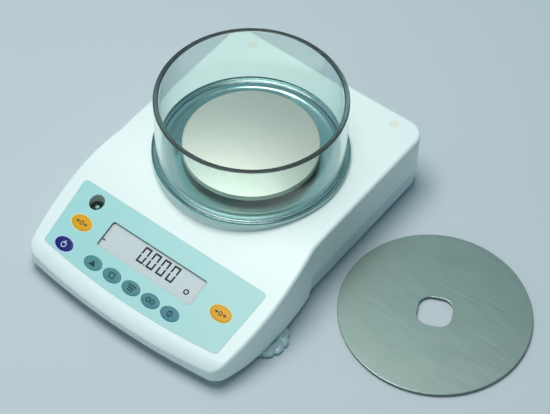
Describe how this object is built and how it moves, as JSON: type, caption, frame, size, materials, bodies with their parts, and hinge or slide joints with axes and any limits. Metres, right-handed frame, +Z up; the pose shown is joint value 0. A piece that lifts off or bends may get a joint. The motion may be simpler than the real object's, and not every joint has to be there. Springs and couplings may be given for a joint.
{
  "type": "laboratory balance",
  "caption": "Top-loading laboratory balance with a sloped keypad, a round glass draft shield and its steel cover lying beside it.",
  "frame": {"origin": "on the weighing pan's axis, at the height of the table", "axes": "+X to the right of a user in front of the keypad, +Y to the back of the balance, +Z up"},
  "size_m": [0.4083, 0.3075, 0.136],
  "materials": {
    "housing_plastic": "satin moulded plastic, white",
    "tray_plastic": "fine-grained moulded plastic, white",
    "plug_plastic": "smooth plastic, faintly yellow",
    "dish_metal": "spun and polished",
    "shield_glass": "clear, polished edges",
    "cover_steel": "brushed in one direction",
    "pan_steel": "fine-grained matt",
    "cast_aluminium": "die cast",
    "machined_aluminium": "milled",
    "turned_steel": "turned",
    "magnet_iron": "nickel plated soft iron",
    "bracket_steel": "zinc plated",
    "screw_steel": "zinc plated",
    "circuit_board": "solder mask, green",
    "connector_metal": "tin plated",
    "socket_plastic": "black",
    "foil_plastic": "printed foil, pale aqua",
    "tare_key_plastic": "yellow",
    "power_key_plastic": "dark blue",
    "function_key_plastic": "grey teal",
    "bezel_plastic": "dark grey",
    "window_plastic": "clear",
    "display_crystal": "light grey liquid crystal",
    "carrier_plastic": "white",
    "level_cup_plastic": "olive grey",
    "vial_glass": "tinted liquid under glass",
    "wheel_plastic": "translucent, blue grey",
    "foot_rubber": "moulded"
  },
  "bodies": {
    "balance": {"upper_housing": "housing_plastic", "base_housing": "tray_plastic", "housing_screws": "screw_steel", "deck_plugs": "plug_plastic", "shield_plate": "dish_metal", "load_cone": "turned_steel", "weigh_cell": "machined_aluminium", "magnet_pot": "magnet_iron", "coil_lever": "machined_aluminium", "cell_bracket": "bracket_steel", "cell_screws": "screw_steel", "main_board": "circuit_board", "board_screws": "screw_steel", "data_port": "connector_metal", "data_jacks": "connector_metal", "power_socket": "socket_plastic", "power_nut": "connector_metal", "hook_plug": "tray_plastic", "keypad_foil": "foil_plastic", "display_bezel": "bezel_plastic", "display_window": "window_plastic", "display_panel": "display_crystal", "display_carrier": "carrier_plastic", "keypad_board": "circuit_board", "keypad_screws": "screw_steel", "level_cup": "level_cup_plastic", "level_vial": "vial_glass", "rear_foot_left": "foot_rubber", "rear_foot_right": "foot_rubber"},
    "pan": {"weighing_pan": "pan_steel", "pan_support": "cast_aluminium"},
    "glass": {"draft_shield_glass": "shield_glass"},
    "cover": {"draft_shield_cover": "cover_steel"},
    "key_tare_left": {"key_tare_left": "tare_key_plastic"},
    "key_tare_right": {"key_tare_right": "tare_key_plastic"},
    "key_power": {"key_power": "power_key_plastic"},
    "key_function_1": {"key_function_1": "function_key_plastic"},
    "key_function_2": {"key_function_2": "function_key_plastic"},
    "key_function_3": {"key_function_3": "function_key_plastic"},
    "key_function_4": {"key_function_4": "function_key_plastic"},
    "key_function_5": {"key_function_5": "function_key_plastic"},
    "foot_pad_left": {"foot_pad_left": "foot_rubber"},
    "foot_wheel_left": {"foot_wheel_left": "wheel_plastic"},
    "foot_pad_right": {"foot_pad_right": "foot_rubber"},
    "foot_wheel_right": {"foot_wheel_right": "wheel_plastic"}
  },
  "joints": [
    {"name": "pan_lift", "type": "slide", "parent": "balance", "child": "pan", "axis": [0, 0, 1], "range_m": [0, 0.06]},
    {"name": "glass_lift", "type": "slide", "parent": "balance", "child": "glass", "axis": [0, 0, 1], "range_m": [0, 0.08]},
    {"name": "cover_lift", "type": "slide", "parent": "balance", "child": "cover", "axis": [0, 0, 1], "range_m": [0, 0.15]},
    {"name": "key_tare_left_press", "type": "slide", "parent": "balance", "child": "key_tare_left", "axis": [0, 0.3223, -0.9466], "range_m": [0, 0.0005], "stiffness_N_per_m": 1200, "springref_m": -0.0002},
    {"name": "key_tare_right_press", "type": "slide", "parent": "balance", "child": "key_tare_right", "axis": [0, 0.3223, -0.9466], "range_m": [0, 0.0005], "stiffness_N_per_m": 1200, "springref_m": -0.0002},
    {"name": "key_power_press", "type": "slide", "parent": "balance", "child": "key_power", "axis": [0, 0.3223, -0.9466], "range_m": [0, 0.0005], "stiffness_N_per_m": 1200, "springref_m": -0.0002},
    {"name": "key_function_1_press", "type": "slide", "parent": "balance", "child": "key_function_1", "axis": [0, 0.3223, -0.9466], "range_m": [0, 0.0005], "stiffness_N_per_m": 1200, "springref_m": -0.0002},
    {"name": "key_function_2_press", "type": "slide", "parent": "balance", "child": "key_function_2", "axis": [0, 0.3223, -0.9466], "range_m": [0, 0.0005], "stiffness_N_per_m": 1200, "springref_m": -0.0002},
    {"name": "key_function_3_press", "type": "slide", "parent": "balance", "child": "key_function_3", "axis": [0, 0.3223, -0.9466], "range_m": [0, 0.0005], "stiffness_N_per_m": 1200, "springref_m": -0.0002},
    {"name": "key_function_4_press", "type": "slide", "parent": "balance", "child": "key_function_4", "axis": [0, 0.3223, -0.9466], "range_m": [0, 0.0005], "stiffness_N_per_m": 1200, "springref_m": -0.0002},
    {"name": "key_function_5_press", "type": "slide", "parent": "balance", "child": "key_function_5", "axis": [0, 0.3223, -0.9466], "range_m": [0, 0.0005], "stiffness_N_per_m": 1200, "springref_m": -0.0002},
    {"name": "foot_travel_left", "type": "slide", "parent": "balance", "child": "foot_pad_left", "axis": [0, 0, -1], "range_m": [0, 0.005]},
    {"name": "foot_turn_left", "type": "hinge", "parent": "foot_pad_left", "child": "foot_wheel_left", "pos_m": [-0.1015, -0.1105, 0], "axis": [0, 0, -1], "range_deg": [0, 1436]},
    {"name": "foot_travel_right", "type": "slide", "parent": "balance", "child": "foot_pad_right", "axis": [0, 0, -1], "range_m": [0, 0.005]},
    {"name": "foot_turn_right", "type": "hinge", "parent": "foot_pad_right", "child": "foot_wheel_right", "pos_m": [0.1015, -0.1105, 0], "axis": [0, 0, -1], "range_deg": [0, 1436]}
  ],
  "couplings": [
    {"joint": "foot_travel_left", "follows": "foot_turn_left", "m_per_rad": 0.00019894},
    {"joint": "foot_travel_right", "follows": "foot_turn_right", "m_per_rad": 0.00019894}
  ]
}
